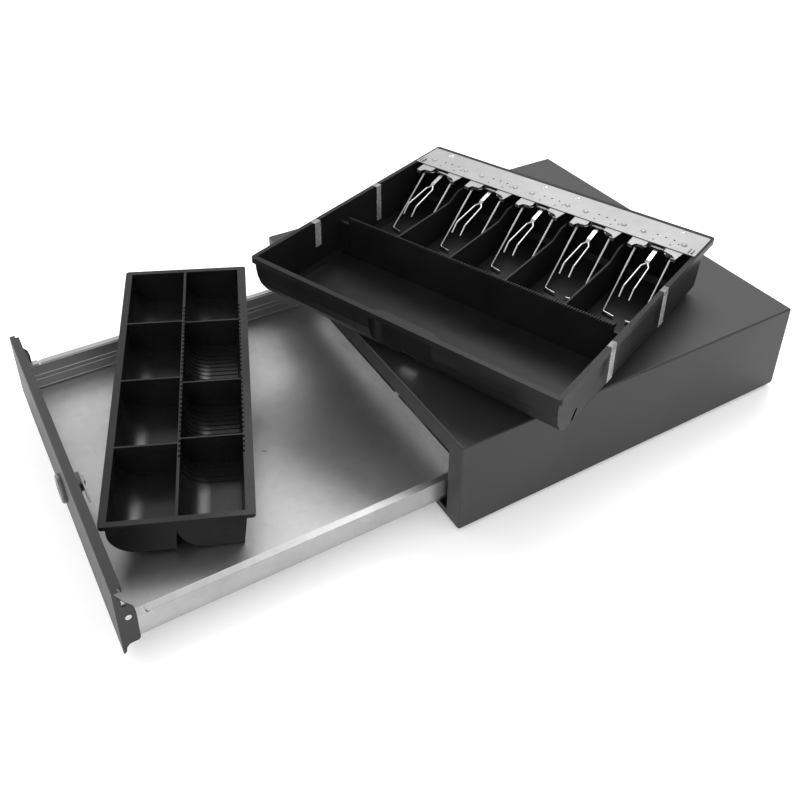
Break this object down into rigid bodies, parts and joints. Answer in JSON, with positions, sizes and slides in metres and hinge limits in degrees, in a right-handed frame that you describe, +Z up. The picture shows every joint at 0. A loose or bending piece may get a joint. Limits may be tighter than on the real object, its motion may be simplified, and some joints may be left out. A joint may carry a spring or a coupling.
{
  "type": "cash drawer",
  "caption": "Steel cash drawer standing open on roller slides, with its bill tray turned on top of the cabinet and a loose coin tray leaning in the drawer.",
  "frame": {"origin": "under the middle of the whole object's box, on the plane its feet stand on", "axes": "+Z up, -Y the way the drawer opens, +X to the right of someone facing the drawer"},
  "size_m": [0.4734, 0.7222, 0.1648],
  "materials": {
    "powder_coat": "fine satin powder coat",
    "galvanised": "semi-gloss galvanised sheet",
    "chrome": "bright plated",
    "black_abs": "semi-gloss moulded",
    "nylon": "moulded nylon",
    "coil": "taped winding",
    "rubber": "matt",
    "clear_tape": "clear film"
  },
  "bodies": {
    "cabinet": {"cabinet_cover": "powder_coat", "cabinet_base": "powder_coat", "feet": "rubber", "cover_screws": "chrome", "cable_socket": "nylon", "latch_bracket": "galvanised", "latch_pin": "chrome", "latch_spring": "chrome", "solenoid_coil": "coil", "solenoid_frame": "galvanised", "ejector_spring": "galvanised", "micro_switch": "nylon", "cabinet_rail_right": "galvanised", "cabinet_rail_left": "galvanised"},
    "drawer": {"drawer_pan": "galvanised", "drawer_rail_right": "galvanised", "drawer_rail_left": "galvanised", "front_panel": "powder_coat", "panel_bracket_right": "galvanised", "panel_bracket_left": "galvanised", "panel_screws": "chrome", "striker_plate": "galvanised", "pan_rivets": "chrome", "lock_body": "chrome", "lock_nut": "chrome"},
    "front_roller_right": {"front_roller_right": "nylon"},
    "front_roller_left": {"front_roller_left": "nylon"},
    "rear_roller_right": {"rear_roller_right": "nylon"},
    "rear_roller_left": {"rear_roller_left": "nylon"},
    "lock_core": {"lock_core": "chrome", "lock_cam": "chrome"},
    "latch_lever": {"latch_lever": "galvanised"},
    "solenoid_plunger": {"solenoid_plunger": "chrome"},
    "till": {"till_tray": "black_abs", "hold_down_plate": "galvanised", "plate_domes": "chrome", "plate_screws": "chrome", "clip_brackets": "galvanised", "torsion_springs": "chrome", "transit_tape": "clear_tape", "bill_divider_1": "black_abs", "bill_divider_2": "black_abs", "bill_divider_3": "black_abs", "bill_divider_4": "black_abs"},
    "coin_tray": {"coin_tray": "black_abs"},
    "wire_frame_1": {"wire_frame_1": "chrome"},
    "bill_fork_1": {"bill_fork_1": "chrome"},
    "wire_frame_2": {"wire_frame_2": "chrome"},
    "bill_fork_2": {"bill_fork_2": "chrome"},
    "wire_frame_3": {"wire_frame_3": "chrome"},
    "bill_fork_3": {"bill_fork_3": "chrome"},
    "wire_frame_4": {"wire_frame_4": "chrome"},
    "bill_fork_4": {"bill_fork_4": "chrome"},
    "wire_frame_5": {"wire_frame_5": "chrome"},
    "bill_fork_5": {"bill_fork_5": "chrome"},
    "coin_divider_1": {"coin_divider_1": "black_abs"},
    "coin_divider_2": {"coin_divider_2": "black_abs"},
    "coin_divider_3": {"coin_divider_3": "black_abs"}
  },
  "joints": [
    {"name": "drawer_slide", "type": "slide", "parent": "cabinet", "child": "drawer", "axis": [0, -1, 0], "range_m": [-0.302, 0]},
    {"name": "front_roller_right_spin", "type": "hinge", "parent": "cabinet", "child": "front_roller_right", "pos_m": [0.16791, -0.02465, 0.0218], "axis": [1, 0, 0], "continuous": true},
    {"name": "rear_roller_right_spin", "type": "hinge", "parent": "drawer", "child": "rear_roller_right", "pos_m": [0.17791, -0.03865, 0.0372], "axis": [1, 0, 0], "continuous": true},
    {"name": "front_roller_left_spin", "type": "hinge", "parent": "cabinet", "child": "front_roller_left", "pos_m": [-0.19009, -0.02465, 0.0218], "axis": [1, 0, 0], "continuous": true},
    {"name": "rear_roller_left_spin", "type": "hinge", "parent": "drawer", "child": "rear_roller_left", "pos_m": [-0.20009, -0.03865, 0.0372], "axis": [1, 0, 0], "continuous": true},
    {"name": "lock_turn", "type": "hinge", "parent": "drawer", "child": "lock_core", "pos_m": [0.00091, -0.35665, 0.042], "axis": [0, -1, 0], "range_deg": [0, 90]},
    {"name": "latch_hinge", "type": "hinge", "parent": "cabinet", "child": "latch_lever", "pos_m": [0.06991, 0.31135, 0.065], "axis": [-1, 0, 0], "range_deg": [-12, 0], "stiffness_Nm_per_rad": 0.3},
    {"name": "plunger_slide", "type": "slide", "parent": "cabinet", "child": "solenoid_plunger", "axis": [0, -1, 0], "range_m": [0, 0.005]},
    {"name": "till_lift", "type": "slide", "parent": "cabinet", "child": "till", "axis": [0, 0, 1], "range_m": [0, 0.2]},
    {"name": "wire_frame_1_hinge", "type": "hinge", "parent": "till", "child": "wire_frame_1", "pos_m": [-0.15956, 0.14772, 0.1573], "axis": [-0.9284, -0.3717, 0], "range_deg": [0, 40], "stiffness_Nm_per_rad": 0.03, "springref_deg": -28.65},
    {"name": "bill_fork_1_hinge", "type": "hinge", "parent": "till", "child": "bill_fork_1", "pos_m": [-0.16254, 0.15515, 0.1565], "axis": [-0.9284, -0.3717, 0], "range_deg": [0, 40], "stiffness_Nm_per_rad": 0.02, "springref_deg": -28.65},
    {"name": "wire_frame_2_hinge", "type": "hinge", "parent": "till", "child": "wire_frame_2", "pos_m": [-0.09569, 0.17329, 0.1573], "axis": [-0.9284, -0.3717, 0], "range_deg": [0, 40], "stiffness_Nm_per_rad": 0.03, "springref_deg": -28.65},
    {"name": "bill_fork_2_hinge", "type": "hinge", "parent": "till", "child": "bill_fork_2", "pos_m": [-0.09867, 0.18072, 0.1565], "axis": [-0.9284, -0.3717, 0], "range_deg": [0, 40], "stiffness_Nm_per_rad": 0.02, "springref_deg": -28.65},
    {"name": "wire_frame_3_hinge", "type": "hinge", "parent": "till", "child": "wire_frame_3", "pos_m": [-0.03182, 0.19886, 0.1573], "axis": [-0.9284, -0.3717, 0], "range_deg": [0, 40], "stiffness_Nm_per_rad": 0.03, "springref_deg": -28.65},
    {"name": "bill_fork_3_hinge", "type": "hinge", "parent": "till", "child": "bill_fork_3", "pos_m": [-0.03479, 0.20629, 0.1565], "axis": [-0.9284, -0.3717, 0], "range_deg": [0, 40], "stiffness_Nm_per_rad": 0.02, "springref_deg": -28.65},
    {"name": "wire_frame_4_hinge", "type": "hinge", "parent": "till", "child": "wire_frame_4", "pos_m": [0.03205, 0.22444, 0.1573], "axis": [-0.9284, -0.3717, 0], "range_deg": [0, 40], "stiffness_Nm_per_rad": 0.03, "springref_deg": -28.65},
    {"name": "bill_fork_4_hinge", "type": "hinge", "parent": "till", "child": "bill_fork_4", "pos_m": [0.02908, 0.23186, 0.1565], "axis": [-0.9284, -0.3717, 0], "range_deg": [0, 40], "stiffness_Nm_per_rad": 0.02, "springref_deg": -28.65},
    {"name": "wire_frame_5_hinge", "type": "hinge", "parent": "till", "child": "wire_frame_5", "pos_m": [0.09592, 0.25001, 0.1573], "axis": [-0.9284, -0.3717, 0], "range_deg": [0, 40], "stiffness_Nm_per_rad": 0.03, "springref_deg": -28.65},
    {"name": "bill_fork_5_hinge", "type": "hinge", "parent": "till", "child": "bill_fork_5", "pos_m": [0.09295, 0.25744, 0.1565], "axis": [-0.9284, -0.3717, 0], "range_deg": [0, 40], "stiffness_Nm_per_rad": 0.02, "springref_deg": -28.65},
    {"name": "coin_tray_slide", "type": "slide", "parent": "drawer", "child": "coin_tray", "axis": [-0.9923, 0.0595, 0.1087], "range_m": [0, 0.76]},
    {"name": "coin_divider_1_lift", "type": "slide", "parent": "coin_tray", "child": "coin_divider_1", "axis": [0.0991, 0, 0.9951], "range_m": [0, 0.05]},
    {"name": "coin_divider_2_lift", "type": "slide", "parent": "coin_tray", "child": "coin_divider_2", "axis": [0.0991, 0, 0.9951], "range_m": [0, 0.05]},
    {"name": "coin_divider_3_lift", "type": "slide", "parent": "coin_tray", "child": "coin_divider_3", "axis": [0.0991, 0, 0.9951], "range_m": [0, 0.05]}
  ],
  "couplings": [
    {"joint": "front_roller_right_spin", "follows": "drawer_slide", "rad_per_m": 167.22},
    {"joint": "front_roller_left_spin", "follows": "drawer_slide", "rad_per_m": 167.22},
    {"joint": "rear_roller_right_spin", "follows": "drawer_slide", "rad_per_m": 125},
    {"joint": "rear_roller_left_spin", "follows": "drawer_slide", "rad_per_m": 125},
    {"joint": "coin_tray_slide", "follows": "drawer_slide", "ratio": -2.5},
    {"joint": "plunger_slide", "follows": "latch_hinge", "m_per_rad": -0.022}
  ]
}
